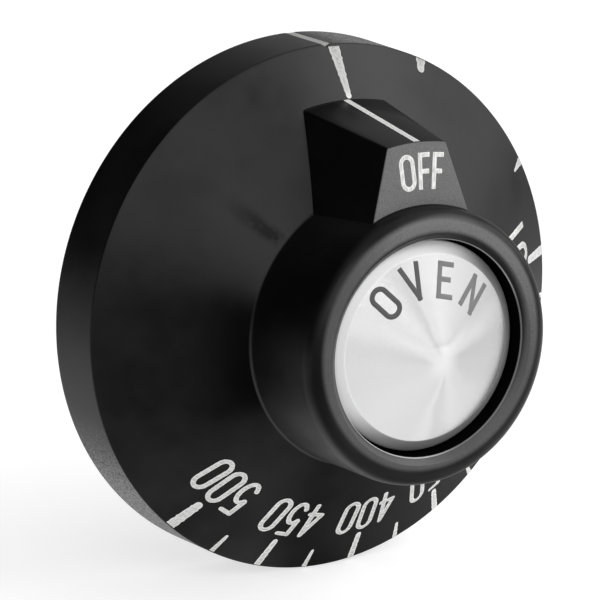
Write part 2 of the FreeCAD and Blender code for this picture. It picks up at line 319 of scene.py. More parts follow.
# %% Cut the shaft socket and its spring slot
SOCKET_RADIUS, SOCKET_FLAT, SOCKET_DEPTH = 3.255, 2.465, 20.0
SLOT_WIDTH, SLOT_LENGTH, SLOT_HEIGHT = 3.7, 19.0, 3.365
# How far a tool reaches past the surface that it cuts
PAST = 2
pick()
bpy.ops.mesh.primitive_cylinder_add(
    vertices=96, radius=SOCKET_RADIUS * MM, depth=(SOCKET_DEPTH + PAST) * MM,
    location=(0, -(SOCKET_DEPTH - PAST) / 2 * MM, 0), rotation=(math.pi / 2, 0, 0))
bpy.ops.object.transform_apply()
socket = bpy.context.object
bpy.ops.object.mode_set(mode="EDIT")
bpy.ops.mesh.select_all(action="SELECT")
bpy.ops.mesh.bisect(plane_co=(0, 0, SOCKET_FLAT * MM), plane_no=(0, 0, 1), use_fill=True, clear_outer=True)
bpy.ops.object.mode_set(mode="OBJECT")
combine(knob, socket, "DIFFERENCE")
spring_slot = block((SLOT_WIDTH, SLOT_LENGTH, SLOT_HEIGHT), (0, PAST - SLOT_LENGTH / 2, SLOT_HEIGHT / 2))
combine(knob, spring_slot, "DIFFERENCE")

# %% [markdown]
# A shallow V across the rim carries the white index line. A cylinder with four sides, squeezed to a
# diamond, cuts it. The same prism, a little shorter, is later the paint that fills it.

# %% Cut the index notch
INDEX_HALF, INDEX_DEEP = 0.725, 0.45


def index_prism(length, out):
    """A prism of the notch's diamond section across the rim, its middle line out from the axis, in mm."""
    pick()
    bpy.ops.mesh.primitive_cylinder_add(
        vertices=4, radius=1, depth=length * MM, location=(0, -RIM_WIDTH / 2 * MM, 0),
        rotation=(math.pi / 2, 0, 0))
    prism = bpy.context.object
    bpy.ops.object.transform_apply()
    bpy.ops.object.mode_set(mode="EDIT")
    bpy.ops.mesh.select_all(action="SELECT")
    bpy.ops.transform.resize(value=(INDEX_HALF * MM, 1, INDEX_DEEP * MM), center_override=(0, 0, 0))
    bpy.ops.transform.translate(value=(0, 0, out * MM))
    bpy.ops.object.mode_set(mode="OBJECT")
    return prism


combine(knob, index_prism(RIM_WIDTH + PAST, SKIRT_RADIUS), "DIFFERENCE")

# %% [markdown]
# Smooth shading by angle keeps the wedge's edges crisp while the turned rings blend into one curve.

# %% Finish the moulding's mesh
def finish_mesh(piece, angle):
    """Merge doubles, face everything outwards and smooth what bends less than an angle."""
    pick(piece)
    bpy.ops.object.mode_set(mode="EDIT")
    bpy.ops.mesh.select_all(action="SELECT")
    bpy.ops.mesh.remove_doubles(threshold=0.002 * MM)
    bpy.ops.mesh.normals_make_consistent(inside=False)
    bpy.ops.object.mode_set(mode="OBJECT")
    bpy.ops.object.shade_smooth_by_angle(angle=math.radians(angle))


finish_mesh(knob, 22)
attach(knob, "root")
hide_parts("knob_body")
print("moulded_knob is", [round(side / MM, 2) for side in knob.dimensions], "mm")

# %% [markdown]
# ## The face disc
#
# The disc is pressed from thin bright sheet: a shallow cone with a soft point, a sloping flange round it
# and a turned-down edge. It could be a flat disc with a Solidify modifier, but it is turned like the dial,
# as a closed shell of sheet thickness, because then each bend gets its own radius.

# %% Turn the face disc
DISC_RADIUS, DISC_SHOULDER, DISC_RISE = 12.4, 29.55, 3.5
DISC_SLOPE = DISC_RISE / DISC_RADIUS
FLANGE_START, SHEET = 11.1, 0.5
TIP_ROUND, TIP_STEPS = 5.0, 9
tip_lean = math.atan(DISC_SLOPE)
tip_centre = DISC_SHOULDER + DISC_RISE - TIP_ROUND / math.cos(tip_lean)


def cone_depth(radius):
    """How deep the disc's cone lies at a distance from the axis."""
    return DISC_SHOULDER + DISC_RISE - radius * DISC_SLOPE


disc_section = rounded([
    (0.3, cone_depth(0.3) - SHEET, 0),
    (11.0, cone_depth(11.0) - SHEET, 0.2),
    (DISC_RADIUS - SHEET, 28.7, 0.15),
    (DISC_RADIUS - SHEET, 28.1, 0.05),
    (DISC_RADIUS, 28.1, 0.05),
    (DISC_RADIUS, 28.95, 0.35),
    (FLANGE_START, cone_depth(FLANGE_START), 0.4),
    (1.6, cone_depth(1.6), 0),
])
for step in range(TIP_STEPS):
    lean = tip_lean * (1 - step / (TIP_STEPS - 0.5))
    disc_section.append((TIP_ROUND * math.sin(lean), tip_centre + TIP_ROUND * math.cos(lean)))
disc = turn("pressed_disc", disc_section)
finish_mesh(disc, 30)
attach(disc, "root")
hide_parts("face_disc")

# %% [markdown]
# ## Drawing the marks
#
# The scale was cut with a small rotary cutter and wiped with white paint, so every figure is made of
# strokes of one width with round ends. A font would give the wrong shapes, so each glyph is written down
# here as the few strokes that the cutter makes.

# %% Glyph shapes
def bow(centre_x, centre_y, radius_x, radius_y, start, end, count=16):
    """Points along an elliptical arc, from one angle to another in degrees."""
    points = []
    for step in range(count + 1):
        angle = math.radians(start + (end - start) * step / count)
        points.append((centre_x + radius_x * math.cos(angle), centre_y + radius_y * math.sin(angle)))
    return points


def ring(end_height):
    """An upright oval with straight sides."""
    top = bow(0, 1 - end_height, 1, end_height, 0, 180)
    bottom = bow(0, end_height - 1, 1, end_height, 180, 360)
    return top + bottom + top[:1]


# Each glyph's strokes, from -1 to 1 across its half width and half height
GLYPHS = {
    "0": [ring(0.42)],
    "2": [bow(0, 0.5, 0.95, 0.5, 165, -25) + [(-0.95, -1)], [(-0.95, -1), (1, -1)]],
    "3": [bow(-0.05, 0.53, 0.9, 0.47, 160, -85), bow(-0.05, -0.46, 1, 0.54, 85, -160)],
    "4": [[(0.5, 1), (-1, -0.42)], [(-1, -0.42), (1, -0.42)], [(0.5, 1), (0.5, -1)]],
    "5": [[(0.9, 1), (-0.75, 1)], [(-0.75, 1), (-0.85, 0.1)], bow(-0.02, -0.36, 1, 0.64, 140, -150)],
    "L": [[(-0.8, 1), (-0.8, -1)], [(-0.8, -1), (0.9, -1)]],
    "O": [ring(0.45)],
    "W": [[(-1, 1), (-0.5, -1)], [(-0.5, -1), (0, 0.7)], [(0, 0.7), (0.5, -1)], [(0.5, -1), (1, 1)]],
    "F": [[(-0.75, 1), (-0.75, -1)], [(-0.75, 1), (0.95, 1)], [(-0.75, -0.02), (0.7, -0.02)]],
    "V": [[(-1, 1), (0, -1)], [(1, 1), (0, -1)]],
    "E": [
        [(-0.8, 1), (-0.8, -1)], [(-0.8, 1), (0.9, 1)], [(-0.8, 0.06), (0.55, 0.06)],
        [(-0.8, -1), (0.9, -1)]],
    "N": [[(-0.9, -1), (-0.9, 1)], [(-0.9, 1), (0.9, -1)], [(0.9, -1), (0.9, 1)]],
}
print("Glyphs:", " ".join(GLYPHS))


def glyph(letter, half_width, half_height):
    """A letter's strokes at a size in mm, measured to the middle of the stroke."""
    return [[(x * half_width, y * half_height) for x, y in stroke] for stroke in GLYPHS[letter]]


# %% [markdown]
# A wiped edge is never straight, so each stroke is walked in short steps, and its width follows two slow
# waves. A few more points round off its ends, or square them. The stroke itself is a curve with a round
# bevel, made a mesh and pressed nearly flat, and each point of the mesh remembers how near it is to the
# middle of the stroke, which the paint's material needs.

# %% Lay strokes of paint
PAINT_RISE, WALK_STEP = 0.03, 0.3
# How far each kind of end reaches past the stroke, and how wide it is there, in shares of the half width
END_CAPS = {
    "round": [(0.45, 0.89), (0.75, 0.66), (0.93, 0.37), (0.995, 0.08)],
    "square": [(0.9, 1.0), (1.0, 0.9)],
    "cut": [],
}


def walk_stroke(stroke, width, ends, uneven, seed, number):
    """Places and width shares along a stroke, ends included, and whether it closes on itself."""
    knots = [Vector((*point[:2], point[2] if len(point) > 2 else 1.0)) for point in stroke]
    walk = [knots[0]]
    for one, two in zip(knots, knots[1:]):
        pieces = max(1, round((two.xy - one.xy).length / WALK_STEP))
        walk += [one.lerp(two, share / pieces) for share in range(1, pieces + 1)]
    places, shares, travelled = [], [], 0.0
    for knot in walk:
        if places:
            travelled += (knot.xy - places[-1]).length
        wave = math.sin(6.3 * travelled + seed + number)
        wave += math.sin(11.9 * travelled + 2.3 * seed + number)
        places.append(knot.xy)
        shares.append(knot.z * (1 + uneven * wave / 2))
    if (knots[0].xy - knots[-1].xy).length < 0.01:
        return places[:-1], shares[:-1], True
    for end in ends:
        out = (places[-1] - places[-2]).normalized() * width / 2 * shares[-1]
        last_place, last_share = places[-1], shares[-1]
        for reach, share in END_CAPS[end]:
            places.append(last_place + out * reach)
            shares.append(last_share * share)
        places.reverse()
        shares.reverse()
    return places, shares, False


def paint(name, strokes, width, ends=("round", "round"), uneven=0.07, seed=0.0):
    """Lay strokes of paint in the XY plane, each a list of (x, y) or (x, y, width share) points in mm."""
    curve = bpy.data.curves.new(name, "CURVE")
    curve.dimensions = "3D"
    curve.bevel_depth = width / 2 * MM
    curve.bevel_resolution = 2
    curve.use_fill_caps = True
    for number, stroke in enumerate(strokes):
        places, shares, closed = walk_stroke(stroke, width, ends, uneven, seed, number)
        spline = curve.splines.new("POLY")
        spline.points.add(len(places) - 1)
        spline.use_cyclic_u = closed
        for point, place, share in zip(spline.points, places, shares):
            point.co = (place.x * MM, place.y * MM, 0, 1)
            point.radius = share
    mark = bpy.data.objects.new(name, curve)
    bpy.context.collection.objects.link(mark)
    pick(mark)
    bpy.ops.object.convert(target="MESH")
    mark = bpy.context.object
    middle = mark.data.attributes.new("middle", "FLOAT", "POINT")
    for corner_point, share in zip(mark.data.vertices, middle.data):
        share.value = max(0.0, corner_point.co.z / (width / 2 * MM))
    mark.scale = (1, 1, PAINT_RISE / (width / 2))
    bpy.ops.object.transform_apply()
    return mark


print("Paint stands", PAINT_RISE, "mm proud")

# %% [markdown]
# A flat mark is then settled on the knob: a matrix turns its sides along two directions of the surface and
# moves it there, and the place is applied to the mesh. On a cone about the axis the directions follow from
# the angle and the slope.

# %% Settle and join marks
def settle(mark, right, up, place):
    """Put a flat mark on a surface: its X along right, its Y along up, its middle at a place in mm."""
    right, up = Vector(right).normalized(), Vector(up).normalized()
    out = right.cross(up)
    mark.matrix_world = Matrix((
        (right.x, up.x, out.x, place[0] * MM),
        (right.y, up.y, out.y, place[1] * MM),
        (right.z, up.z, out.z, place[2] * MM),
        (0, 0, 0, 1),
    ))
    pick(mark)
    bpy.ops.object.transform_apply()


def on_cone(mark, clockwise, radius, depth, slope):
    """Settle a mark on a cone about the axis, its top outwards, at an angle clockwise from the pointer."""
    angle = math.radians(clockwise)
    right = (math.cos(angle), 0, -math.sin(angle))
    up = (math.sin(angle), slope, math.cos(angle))
    settle(mark, right, up, (radius * math.sin(angle), -depth, radius * math.cos(angle)))


def join(name, marks):
    """Join marks into one piece."""
    pick(*marks)
    bpy.ops.object.join()
    piece = bpy.context.object
    piece.name = piece.data.name = name
    bpy.ops.object.shade_smooth_by_angle(angle=math.radians(50))
    print(name, "joins", len(marks), "marks,", len(piece.data.polygons), "faces")
    return piece


# %% [markdown]
# ## The temperature scale
#
# Ticks stand every 25 degrees from LOW to 500, a little further apart towards the hot end because the
# thermostat's bulb isn't linear. Long ticks carry figures, short ones lie between. The skirt is a cone, so
# a tick along the slope is straight, and a figure two millimetres wide lies on it almost flat.

# %% Paint the ticks and figures
FIGURE_RADIUS, FIGURE_STROKE = 24.8, 0.62
FIGURE_HALF_WIDTH, FIGURE_HALF_HEIGHT = 0.83, 2.65
DIGIT_ANGLES = (-6.5, -0.35, 5.8)
TICK_START, LONG_TICK, SHORT_TICK = 31.52, 28.0, 29.2
LOW_ANGLE, FIRST_STEP, STEP_GROWTH = 83.8, 10.27, 0.22
SLOPE_STRETCH = math.hypot(1, SKIRT_SLOPE)


def skirt_depth(radius):
    """How deep the sloping skirt lies at a distance from the axis."""
    return RIM_WIDTH + SKIRT_SLOPE * (RIM_RADIUS - radius)


def tick(clockwise, outer, inner, outer_width, inner_width, seed=0.0):
    """A tick down the skirt's slope, cut off at the rim, round inside, tapering from width to width."""
    middle = (outer + inner) / 2
    half = (outer - inner) / 2 * SLOPE_STRETCH
    stroke = [(0, -half, inner_width / outer_width), (0, half, 1.0)]
    mark = paint("tick", [stroke], outer_width, ("cut", "round"), 0.12, seed)
    on_cone(mark, clockwise, middle, skirt_depth(middle), SKIRT_SLOPE)
    return mark


def scale_angle(temperature):
    """Degrees clockwise from OFF for a temperature on the scale."""
    step = (temperature - 200) / 25
    return LOW_ANGLE + FIRST_STEP * step + STEP_GROWTH * step * (step - 1) / 2


scale_marks = []
for temperature in range(200, 501, 25):
    angle = scale_angle(temperature)
    if temperature % 50:
        scale_marks.append(tick(angle, TICK_START, SHORT_TICK, 0.66, 0.42, seed=temperature))
    else:
        width = {200: 1.2, 500: 1.35}.get(temperature, 0.9)
        scale_marks.append(tick(angle, TICK_START, LONG_TICK, width, width * 0.8, seed=temperature))
    if temperature % 50 or temperature == 200:
        continue
    out = FIGURE_RADIUS + 0.002 * (400 - temperature)
    for place, digit in zip(DIGIT_ANGLES, str(temperature)):
        digit_strokes = glyph(digit, FIGURE_HALF_WIDTH, FIGURE_HALF_HEIGHT)
        mark = paint("figure", digit_strokes, FIGURE_STROKE, seed=temperature + place)
        on_cone(mark, angle + place, out, skirt_depth(out), SKIRT_SLOPE)
        scale_marks.append(mark)
print(len(scale_marks), "ticks and figures")

# %% [markdown]
# The cold end of the scale is marked LOW instead of a figure, in bolder letters with squared ends.

# %% Paint LOW
LOW_RADIUS, LOW_STROKE, LOW_HALF_HEIGHT = 25.0, 0.76, 2.9
for clockwise, letter, half_width in ((75.2, "L", 0.75), (80.7, "O", 1.05), (89.4, "W", 1.2)):
    letter_strokes = glyph(letter, half_width, LOW_HALF_HEIGHT)
    mark = paint("low", letter_strokes, LOW_STROKE, ("square", "square"), seed=clockwise)
    on_cone(mark, clockwise, LOW_RADIUS, skirt_depth(LOW_RADIUS), SKIRT_SLOPE)
    scale_marks.append(mark)
print(len(scale_marks), "marks on the scale")

# %% [markdown]
# ## OFF and the index line
#
# The OFF position has its own line: it crosses the rim in the V notch, runs down the skirt and over the
# pointer's nose, which is a steep cone. Two shorter marks follow it on the skirt, before the scale begins.

# %% Paint the index line
# Degrees clockwise from the pointer, outer and inner radius, outer and inner width, and the wave's seed
for index_tick in (
        (1.75, 31.35, 26.15, 1.5, 0.7, 3.0), (24.9, TICK_START, 30.5, 1.4, 1.0, 1.0),
        (62.1, TICK_START, 29.75, 1.0, 0.3, 2.0)):
    scale_marks.append(tick(*index_tick))

LINE_BACK, LINE_FRONT, LINE_STROKE = 12.25, 27.1, 0.82
line_middle = (LINE_BACK + LINE_FRONT) / 2
line_half = (LINE_FRONT - LINE_BACK) / 2 / math.cos(DRAFT)
nose_line = paint("nose_line", [[(0, line_half), (0, -line_half)]], LINE_STROKE, ("cut", "cut"), 0.05)
line_angle = math.radians(0.5)
settle(
    nose_line,
    (math.cos(line_angle), 0, -math.sin(line_angle)),
    (math.tan(DRAFT) * math.sin(line_angle), 1, math.tan(DRAFT) * math.cos(line_angle)),
    (nose_radius(line_middle) * math.sin(line_angle), -line_middle,
     nose_radius(line_middle) * math.cos(line_angle)))
scale_marks.append(nose_line)
print("The line on the nose is", round(2 * line_half, 2), "mm long")

# %% [markdown]
# OFF stands on the pointer's sloping face, its letters fanned a little about the knob's axis. Each letter
# is turned in the plane of that face, so its sides lean with the tilt.

# %% Paint OFF
OFF_RADIUS, OFF_HALF_HEIGHT, OFF_STROKE = 20.25, 1.85, 0.54
for x, turn_angle, letter, half_width in (
        (-1.47, -4, "O", 0.78), (0.72, 2, "F", 0.62), (2.56, 7, "F", 0.56)):
    angle = math.radians(turn_angle)
    height = math.sqrt(OFF_RADIUS ** 2 - x ** 2)
    letter_strokes = glyph(letter, half_width, OFF_HALF_HEIGHT)
    mark = paint("off", letter_strokes, OFF_STROKE, ("square", "square"), 0.03, seed=x)
    settle(
        mark,
        (math.cos(angle), -math.sin(angle) * math.sin(FACE_TILT), -math.sin(angle) * math.cos(FACE_TILT)),
        (math.sin(angle), math.cos(angle) * math.sin(FACE_TILT), math.cos(angle) * math.cos(FACE_TILT)),
        (x, -face_depth(height), height))
    scale_marks.append(mark)
print(len(scale_marks), "marks with OFF and its line")

# %% [markdown]
# The paint in the rim's notch is a prism that fills most of the V.

# %% Fill the index notch
FILL_BELOW = 0.07
filling = index_prism(RIM_WIDTH - 0.3, SKIRT_RADIUS + 0.01)
bpy.ops.object.mode_set(mode="EDIT")
bpy.ops.mesh.select_all(action="SELECT")
bpy.ops.mesh.bisect(
    plane_co=(0, 0, (SKIRT_RADIUS - FILL_BELOW) * MM), plane_no=(0, 0, 1), use_fill=True, clear_outer=True,
    threshold=0.001 * MM)
bpy.ops.object.mode_set(mode="OBJECT")
scale_marks.append(filling)
white_marks = join("white_marks", scale_marks)
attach(white_marks, "root")

# %% [markdown]
# ## The word on the disc
#
# The disc's upper half carries the word OVEN in grey ink, one letter after another round the cone. The
# lower half stays bare metal.

# %% Print the disc's word
INK_STROKE, INK_HALF_HEIGHT = 0.62, 1.88
disc_letters = []
for clockwise, out, letter, half_width in (
        (-44.5, 8.6, "O", 0.97), (-15.6, 8.4, "V", 1.08), (13.6, 8.1, "E", 0.95), (45.3, 8.15, "N", 1.0)):
    mark = paint("ink", glyph(letter, half_width, INK_HALF_HEIGHT), INK_STROKE, ("square", "square"), 0.0)
    on_cone(mark, clockwise, out, cone_depth(out), DISC_SLOPE)
    disc_letters.append(mark)
disc_word = join("disc_word", disc_letters)
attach(disc_word, "root")

# %% [markdown]
# ## Finishes
#
# Colours are written as sRGB hex values, as a paint chart gives them, and one function turns them into the
# linear numbers that a shader needs. A material is a tree of nodes, which could also be drawn by hand in
# the Shader Editor. Here one small function adds a node with its settings and links to the tree at hand,
# so a tree reads in the order in which it grows, from a pattern to the shader.

# %% Colours and nodes
def colour(hex_value):
    """Linear RGBA for an sRGB hex colour."""
    channels = [int(hex_value[index:index + 2], 16) / 255 for index in (0, 2, 4)]
    linear = [
        share / 12.92 if share <= 0.04045 else ((share + 0.055) / 1.055) ** 2.4 for share in channels]
    return linear + [1.0]


def add(kind, *values, named=None, **settings):
    """Add a node to the tree at hand. Its sockets, in order or by name, take numbers, colours or links."""
    node = tree.nodes.new("ShaderNode" + kind)
    for name, value in settings.items():
        setattr(node, name, value)
    pairs = list(zip([socket for socket in node.inputs if socket.enabled], values))
    pairs += [(node.inputs[name], value) for name, value in (named or {}).items()]
    for socket, value in pairs:
        if isinstance(value, bpy.types.Node):
            value = next(output for output in value.outputs if output.enabled)
        if isinstance(value, bpy.types.NodeSocket):
            tree.links.new(value, socket)
        else:
            socket.default_value = colour(value) if isinstance(value, str) else value
    return node


print("Mid grey 808080 is", round(colour("808080")[0], 3), "in linear light")

# %% [markdown]
# Two things repeat in every finish here: a region of the knob that several limits close in, and finishes
# laid over one another where their regions say so. Each limit fades in smoothly, because no real wear has
# a sharp edge.

# %% Regions, coats and materials
SMOOTH = {"interpolation_type": "SMOOTHSTEP"}


def region(*limits):
    """Where all limits hold: each is a mask, or a measure, two values of it and what the mask is at both."""
    mask, *others = [
        add("MapRange", *limit, **SMOOTH) if isinstance(limit, tuple) else limit for limit in limits]
    for other in others:
        mask = add("Math", mask, other, operation="MULTIPLY")
    return mask


def either(mask, *others):
    """Where any of several masks holds."""
    for other in others:
        mask = add("Math", mask, other, operation="MAXIMUM")
    return mask


def coat(under, *layers):
    """Colours laid over one another: each layer is a mask and the colour that shows where the mask is 1."""
    for mask, over in layers:
        under = add("Mix", mask, under, over, data_type="RGBA")
    return under


def new_material(name):
    """A material with an empty tree."""
    material = bpy.data.materials.new(name)
    material.use_nodes = True
    material.node_tree.nodes.clear()
    return material, material.node_tree


def dress(piece, material, sockets):
    """End a material in a Principled shader with these sockets, and give it to a piece."""
    add("OutputMaterial", add("BsdfPrincipled", named=sockets))
    piece.data.materials.clear()
    piece.data.materials.append(material)
    print(piece.name, "wears", material.name, "with", len(tree.nodes), "nodes")


# %% [markdown]
# ## Black phenolic
#
# The knob is compression-moulded phenolic, a black resin with a fine filler. The polished mould left it a
# hard satin skin so dark that the eye sees little but its sheen. Its finishes could be separate materials
# on separate faces. One material with masks was chosen, because masks made from the distance to the axis,
# the depth and the height can fade, and they stay in place however the mesh is cut.

# %% Measure places on the phenolic
# Sizes in mm: the filler's grain, drawn three times too coarse so that it shows, and the sheen's clouds
GRAIN, CLOUD = 0.14, 9.0


def measures():
    """The place in mm, and from it the distance to the axis, the depth, the height and the way right."""
    place = add("VectorMath", add("TexCoord").outputs["Object"], 1 / MM, operation="SCALE")
    across = add("VectorMath", place, (1, 0, 1), operation="MULTIPLY")
    radius = add("VectorMath", across, operation="LENGTH")
    sides = add("SeparateXYZ", place).outputs
    depth = add("Math", sides["Y"], -1.0, operation="MULTIPLY")
    return place, radius, depth, sides["Z"], sides["X"]


phenolic, tree = new_material("black_phenolic_satin_moulding")
place, radius, depth, height, right = measures()
grain = add("TexNoise", place, 1 / GRAIN, 3.0, 0.55)
speckle = region((grain, 0.3, 0.7))
clouds = add("TexNoise", place, 1 / CLOUD, 4.0, 0.55)
print("Grain of", GRAIN, "mm and clouds of", CLOUD, "mm")

# %% [markdown]
# The rim was trimmed and the pointer's face blasted, so the skin is gone there and the filler shows as
# pale sand. On the rim that is at the top right, and at the bottom, where the sand is also painted paler as
# a reflection of the white floor. The pointer's face is tilted: the sum of the depth and the height times
# its slope is the same all over it, which makes a good mask.

# %% Mask the sandy places
# All limits are in mm
rim = region((radius, RIM_RADIUS - 0.2, RIM_RADIUS - 0.03), (depth, RIM_WIDTH - 0.05, RIM_WIDTH - 0.25))
trimmed = region((height, 22, 31), (right, -0.5, 5))
# Painted reflection: the sand at the bottom of the rim stands in for the white floor that it mirrors
rim_bottom_painted_reflection = region((height, -8, -21, 0.0, 0.8))
on_rim = region(rim, either(trimmed, rim_bottom_painted_reflection))
tilted = add("Math", height, math.tan(FACE_TILT), depth, operation="MULTIPLY_ADD")
at_face = FACE_DEPTH + FACE_START * math.tan(FACE_TILT)
on_face = region((tilted, at_face - 0.16, at_face - 0.04), (radius, HUB_RADIUS - 0.1, HUB_RADIUS))
sandy = either(on_rim, on_face)
print("Sandy on the rim and where the tilted depth passes", round(at_face - 0.16, 2), "mm")

# %% [markdown]
# The crown of the bead, the lip of the face recess, the lower side of the hub and the fillet at its foot get
# painted light in their colour: a soft grey painted highlight band on the crown, which leans a little and is
# lighter towards the top right, a painted glint on the lip, brightest towards the lower left, a painted
# reflection of the floor on the hub's lower side, and a painted glint on the fillet towards the bottom.

# %% Mask the painted highlights, glints and reflection
CROWN_RADIUS, CROWN_HALF = 14.0, 1.05
up_left = add("Math", right, -0.3, height, operation="MULTIPLY_ADD")
band = add("Math", up_left, -0.04, radius, operation="MULTIPLY_ADD")
band = add("Math", band, CROWN_RADIUS, operation="SUBTRACT")
band = add("Math", band, operation="ABSOLUTE")
# Painted highlight: a soft grey band on the bead's crown
on_crown = region(
    (band, CROWN_HALF, CROWN_HALF / 3), (depth, 29.8, 30.4),
    (radius, RECESS_RADIUS + 0.05, RECESS_RADIUS + 0.15))
low_right = add("Math", height, -0.5, right, operation="MULTIPLY_ADD")
# Painted glint along the recess lip, brightest towards the lower left
lip_painted_glint = region(
    (radius, RECESS_RADIUS + 0.14, RECESS_RADIUS + 0.06), (depth, 30.46, 30.53),
    (low_right, 6, 11, 1.0, 0.35), (height, 10, 4, 0.6, 1.0))
# Painted glint along the fillet at the hub's foot, towards the bottom
root_painted_glint = region(
    (radius, HUB_RADIUS + 0.3, HUB_RADIUS + 0.1), (depth, HUB_ROOT + 0.1, HUB_ROOT - 0.1),
    (height, 6, -8))
# Painted reflection of the white floor on the lower side of the hub
hub_floor_reflection = region(
    (depth, 19, 29.5, 0.6, 1.0), (depth, 30.9, 30.2), (radius, HUB_RADIUS + 0.1, HUB_RADIUS - 0.1),
    (radius, 14, 15), (height, -2, -13))
print("Worn along a band of", 2 * CROWN_HALF, "mm on the crown")

# %% [markdown]
# The hollow back with its boss, and the flat back edge, were never handled or cleaned, so they keep the
# plain dark grey that the mould gave them. The skirt has a sum like that of the pointer's face, of depth
# and sloped radius, and what lies about a millimetre below it is inside.

# %% Mask the hollow back
sloped = add("Math", radius, SKIRT_SLOPE, depth, operation="MULTIPLY_ADD")
at_skirt = RIM_WIDTH + SKIRT_SLOPE * RIM_RADIUS
in_skirt = region((sloped, at_skirt - 0.8, at_skirt - 1.2), (radius, 31.3, 31.1))
in_hub = region((radius, HUB_HOLLOW + 0.4, HUB_HOLLOW + 0.2), (depth, HOLLOW_ROOF + 0.8, HOLLOW_ROOF + 0.4))
inside = either(in_skirt, in_hub, region((depth, 0.3, 0.1)))
print("Depth and sloped radius add up to", round(at_skirt, 2), "mm on the skirt")

# %% [markdown]
# The colours are then laid over one another: black first, then the hollow, the painted highlights, glints
# and floor reflection, and the sand last. The sand on the rim is coarser and paler than the fine speckle of
# the blasted face, and at the bottom of the rim it is paler still, as a painted reflection of the white
# floor.

# %% Colour the phenolic
# Grit in mm, drawn about twice too coarse so that it shows
SAND = 0.26
black = coat("040404", (clouds, "0a0a0a"))
moulded = coat("1c1c1c", (clouds, "282828"))
sand = region((add("TexNoise", place, 1 / SAND, 3.0, 0.6), 0.32, 0.68))
# Painted reflection of the white floor: paler sand at the bottom of the rim
low_rim = region((height, -8, -20))
rim_sand_and_painted_reflection = coat(coat("3c3c3c", (sand, "8e8e8e")), (low_rim, coat("606060", (sand, "b8b8b8"))))
face_sand = coat("5c5c5c", (speckle, "6e6e6e"))
# The crown's painted highlight is lighter towards the top right
up_right = add("Math", right, 0.15, height, operation="MULTIPLY_ADD")
highlight_top_right = region((up_right, -3, 13), (right, -13, -3))
crown_painted_highlight = coat(coat("424242", (speckle, "4e4e4e")), (highlight_top_right, coat("565656", (speckle, "6a6a6a"))))
skin = coat(
    black, (inside, moulded), (hub_floor_reflection, "424242"), (on_crown, crown_painted_highlight), (lip_painted_glint, "a8a8a8"),
    (root_painted_glint, "3c3c3c"), (on_rim, rim_sand_and_painted_reflection), (on_face, face_sand))
print("Sand of", SAND, "mm on the rim")

# %% [markdown]
# A satin black is all sheen, so a place without sheen reads as deep black. The sheen is taken away as
# painted shade in a fan beside the hub's left, standing in for the hub's dark reflection in the skirt, and
# on the wall of the face recess; it is also taken away in a narrow broken smear at the upper left, and on
# parts of the pointer's nose. The nose is a cone, with a sum of its own.

# %% Mask the dull places and the painted shade
# Radians clockwise from the pointer, and the size of the smear's smudges in mm
FAN_ANGLE, SMEAR_ANGLE, SMUDGE = -1.66, -0.82, 1.1
around = add("Math", right, height, operation="ARCTAN2")
off_fan, off_smear = [
    add("Math", add("Math", around, angle, operation="SUBTRACT"), operation="ABSOLUTE")
    for angle in (FAN_ANGLE, SMEAR_ANGLE)]
# Painted shade: no sheen in a fan beside the hub's left, for the hub's dark reflection in the skirt
painted_shade_fan = region((off_fan, 0.5, 0.28, 0.0, 0.85), (radius, HUB_RADIUS, 16.8), (radius, 25, 17))
smudges = add("TexNoise", place, 1 / SMUDGE, 4.0, 0.55)
smear = region(
    (off_smear, 0.075, 0.01, 0.0, 0.6), (radius, 25, 18), (radius, HUB_RADIUS, 17.4),
    (smudges, 0.35, 0.55, 0.35, 1.0))
# Painted shade: no sheen on the wall of the face recess
recess_painted_shade = region((radius, RECESS_RADIUS + 0.15, RECESS_RADIUS + 0.07), (depth, 30.5, 30.4))
drafted = add("Math", depth, math.tan(DRAFT), radius, operation="MULTIPLY_ADD")
at_nose = NOSE_REACH + FACE_DEPTH * math.tan(DRAFT)
off_nose = add("Math", add("Math", drafted, at_nose, operation="SUBTRACT"), operation="ABSOLUTE")
on_nose = region((off_nose, 0.3, 0.2), (sloped, at_skirt + 0.3, at_skirt + 0.6))
nose_front = region((right, 0.3, 1.0, 0.0, 0.5), (depth, 15, 21))
nose_back = region((right, -0.8, -2.0, 0.0, 0.6), (depth, 21, 15))
dull = either(region(on_nose, either(nose_front, nose_back)), painted_shade_fan, smear, recess_painted_shade)
print("Dull fan at", round(math.degrees(FAN_ANGLE)), "degrees, smear at", round(math.degrees(SMEAR_ANGLE)))

# %% [markdown]
# Phenolic's roughness is about 0.3 where the skin is whole, and twice that on sand. Its sheen is set by
# the specular level, which drifts with the clouds in the moulding. The grain makes shallow pits, deepest
# on sand.

# %% Give the phenolic its sheen and grain
satin = add("MapRange", clouds, 0.3, 0.7, 0.28, 0.4, **SMOOTH)
roughness = add("Math", sandy, 0.3, satin, operation="MULTIPLY_ADD")
sheen = add("MapRange", clouds, 0.3, 0.7, 0.13, 0.2, **SMOOTH)
sheen = add("Math", sheen, add("Math", 1.0, dull, operation="SUBTRACT"), operation="MULTIPLY")
sand_sheen = add("MapRange", sandy, 0.0, 1.0, 1.0, 0.3, **SMOOTH)
sheen = add("Math", sheen, sand_sheen, operation="MULTIPLY")
sheen = add("MapRange", inside, 0.0, 1.0, sheen, 0.45, **SMOOTH)
rim_pits = add("Math", rim, 0.4, operation="MULTIPLY")
sand_pits = add("Math", sandy, 0.9, operation="MULTIPLY")
pit_share = add("Math", either(sand_pits, rim_pits), 0.1, operation="ADD")
pits = add("Math", grain, pit_share, operation="MULTIPLY")
bump = add("Bump", named={"Strength": 0.5, "Distance": 0.08 * MM, "Height": pits})
dress(knob, phenolic, {
    "Base Color": skin, "Roughness": roughness, "Specular IOR Level": sheen, "Normal": bump})

